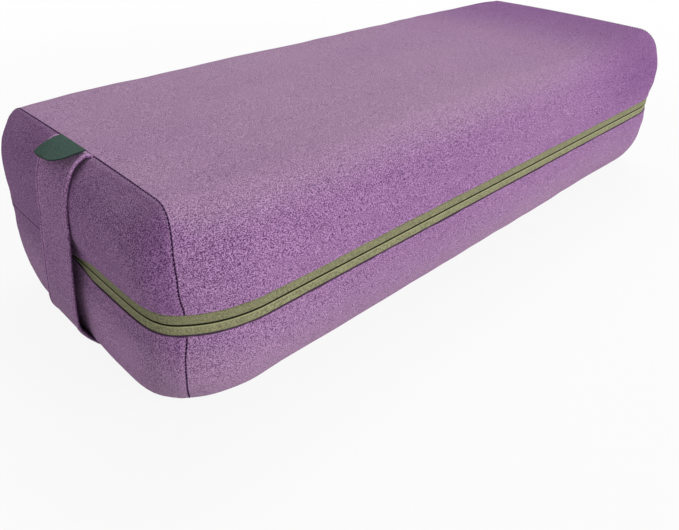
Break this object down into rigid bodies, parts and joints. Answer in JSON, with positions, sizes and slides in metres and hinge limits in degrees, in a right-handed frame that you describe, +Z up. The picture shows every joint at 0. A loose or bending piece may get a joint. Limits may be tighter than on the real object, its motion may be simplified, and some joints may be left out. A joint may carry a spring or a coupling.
{
  "type": "rectangular yoga bolster",
  "caption": "Rectangular yoga bolster: a crowned foam block in a zipped suede cover with a flat carry handle on each end and a bare folded label.",
  "frame": {"origin": "middle of the flat base, on the surface that the bolster lies on", "axes": "+X along the bolster to the far end, where the zip slider is; -Y is the long side with the zip; +Z up"},
  "size_m": [0.6666, 0.2594, 0.1565],
  "materials": {
    "suede": "mauve microfibre suede with a brushed nap",
    "zip_tape": "woven olive zip tape",
    "zip_coil": "dark nylon coil",
    "zip_metal": "satin grey cast metal",
    "label": "dark green woven satin, bare",
    "liner": "off-white plain cotton",
    "wadding": "white polyester fleece",
    "foam_outer": "open-cell polyurethane foam, pale yellow",
    "foam_inner": "firm open-cell polyurethane foam, pale grey"
  },
  "bodies": {
    "body": {"cover_upper": "suede", "cover_lower": "suede", "end_panel_near_upper": "suede", "end_panel_near_lower": "suede", "end_panel_far_upper": "suede", "end_panel_far_lower": "suede", "zip_tape_upper": "zip_tape", "zip_tape_lower": "zip_tape", "zip_coil_upper": "zip_coil", "zip_coil_lower": "zip_coil", "zip_top_stop_upper": "zip_metal", "zip_top_stop_lower": "zip_metal", "zip_bottom_stop": "zip_metal", "handle_near": "suede", "handle_far": "suede", "liner_wrap": "liner", "liner_end_near": "liner", "liner_end_far": "liner", "wadding_wrap": "wadding", "wadding_end_near": "wadding", "wadding_end_far": "wadding", "foam_layer_lower": "foam_outer", "foam_layer_middle": "foam_inner", "foam_layer_upper": "foam_outer"},
    "slider": {"zip_slider": "zip_metal"},
    "pull": {"zip_pull": "zip_metal"},
    "label": {"label_tab": "label"}
  },
  "joints": [
    {"name": "slider_slide", "type": "slide", "parent": "body", "child": "slider", "axis": [0, -1, 0], "range_m": [0, 0.035]},
    {"name": "pull_hinge", "type": "hinge", "parent": "slider", "child": "pull", "pos_m": [0.32275, -0.0257, 0.0815], "axis": [0, 0, 1], "range_deg": [0, 120]},
    {"name": "label_fold", "type": "hinge", "parent": "body", "child": "label", "pos_m": [-0.30605, 0.0015, 0.15607], "axis": [0, 1, 0], "range_deg": [0, 100]}
  ]
}
